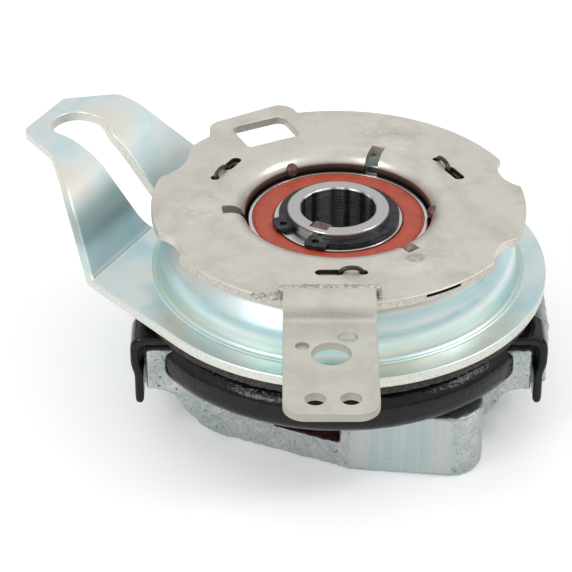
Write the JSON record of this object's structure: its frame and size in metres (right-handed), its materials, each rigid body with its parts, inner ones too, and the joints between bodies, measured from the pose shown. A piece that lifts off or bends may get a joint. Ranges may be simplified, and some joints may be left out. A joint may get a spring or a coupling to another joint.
{
  "type": "blade brake clutch",
  "caption": "Cable-operated blade brake clutch: slotted anchor arm, ball-ramp actuator plate with control tab, sealed bearings on a keyed hub, driven disc and cast blade carrier.",
  "frame": {"origin": "on the hub axis, in the plane of the blade carrier's underside, on which the clutch stands", "axes": "+Z along the hub axis, from the blade carrier up to the engine side; -Y towards the control tab; +X to the tab's right"},
  "size_m": [0.182, 0.1889, 0.078],
  "materials": {
    "zinc_plate": "blue zinc plated sheet steel, satin with pale yellow edges",
    "raw_steel": "warm grey satin pressed steel",
    "friction": "rough moulded friction lining",
    "spring_steel": "oiled dark spring wire",
    "ground_steel": "ground bearing steel",
    "seal_rubber": "brick-red moulded seal",
    "black_ring": "black phosphated spring steel",
    "hub_steel": "turned steel, darker bore",
    "key_steel": "brown, slightly rusted key steel",
    "black_paint": "glossy black paint with orange peel",
    "cast_zinc": "rough as-cast blue-grey plating with machined faces",
    "dark_red": "dark red moulded filler"
  },
  "bodies": {
    "bearing_race": {"upper_bearing_outer": "ground_steel", "upper_seal_top": "seal_rubber", "upper_seal_bottom": "seal_rubber"},
    "brake_plate": {"brake_plate": "zinc_plate", "brake_lining": "friction"},
    "actuator": {"actuator_plate": "raw_steel", "control_tab": "raw_steel", "return_spring_1": "spring_steel", "return_spring_2": "spring_steel", "return_spring_3": "spring_steel"},
    "ramp_balls": {"ramp_ball_1": "ground_steel", "ramp_ball_2": "ground_steel", "ramp_ball_3": "ground_steel"},
    "hub": {"hub": "hub_steel", "hub_circlip": "black_ring", "drive_key": "key_steel", "drive_rotor": "raw_steel", "clutch_lining": "friction", "upper_bearing_inner": "ground_steel", "lower_bearing_inner": "ground_steel", "lower_circlip": "black_ring"},
    "upper_ball_set": {"upper_bearing_balls": "ground_steel"},
    "lower_ball_set": {"lower_bearing_balls": "ground_steel"},
    "carrier": {"blade_carrier": "cast_zinc", "pocket_insert_front": "dark_red", "pocket_insert_rear": "dark_red", "lower_bearing_outer": "ground_steel", "lower_seal_top": "seal_rubber", "lower_seal_bottom": "seal_rubber", "housing_circlip": "black_ring", "pressure_spring_1": "spring_steel", "pressure_spring_2": "spring_steel", "pressure_spring_3": "spring_steel", "pressure_spring_4": "spring_steel"},
    "driven_disc": {"driven_disc": "black_paint"}
  },
  "joints": [
    {"name": "actuator_turn", "type": "hinge", "parent": "bearing_race", "child": "actuator", "pos_m": [0, 0, 0.0726], "axis": [0, 0, 1], "range_deg": [0, 18], "stiffness_Nm_per_rad": 4, "springref_deg": -17.19, "deforming": ["return_spring_1", "return_spring_2", "return_spring_3"]},
    {"name": "plate_lift", "type": "slide", "parent": "bearing_race", "child": "brake_plate", "axis": [0, 0, 1], "range_m": [0, 0.0015]},
    {"name": "ball_roll", "type": "hinge", "parent": "bearing_race", "child": "ramp_balls", "pos_m": [0, 0, 0.0693], "axis": [0, 0, 1], "range_deg": [0, 9]},
    {"name": "hub_spin", "type": "hinge", "parent": "bearing_race", "child": "hub", "pos_m": [0, 0, 0.061], "axis": [0, 0, 1], "continuous": true},
    {"name": "upper_cage_spin", "type": "hinge", "parent": "bearing_race", "child": "upper_ball_set", "pos_m": [0, 0, 0.061], "axis": [0, 0, 1], "continuous": true},
    {"name": "carrier_spin", "type": "hinge", "parent": "hub", "child": "carrier", "pos_m": [0, 0, 0.0214], "axis": [0, 0, 1], "continuous": true},
    {"name": "lower_cage_spin", "type": "hinge", "parent": "hub", "child": "lower_ball_set", "pos_m": [0, 0, 0.0214], "axis": [0, 0, 1], "continuous": true},
    {"name": "disc_lift", "type": "slide", "parent": "carrier", "child": "driven_disc", "axis": [0, 0, 1], "range_m": [0, 0.0007], "deforming": ["pressure_spring_1", "pressure_spring_2", "pressure_spring_3", "pressure_spring_4"]}
  ],
  "couplings": [
    {"joint": "plate_lift", "follows": "actuator_turn", "m_per_rad": 0.00477},
    {"joint": "ball_roll", "follows": "actuator_turn", "ratio": 0.5},
    {"joint": "disc_lift", "follows": "actuator_turn", "m_per_rad": 0.00222},
    {"joint": "upper_cage_spin", "follows": "hub_spin", "ratio": 0.42},
    {"joint": "lower_cage_spin", "follows": "carrier_spin", "ratio": 0.58}
  ]
}
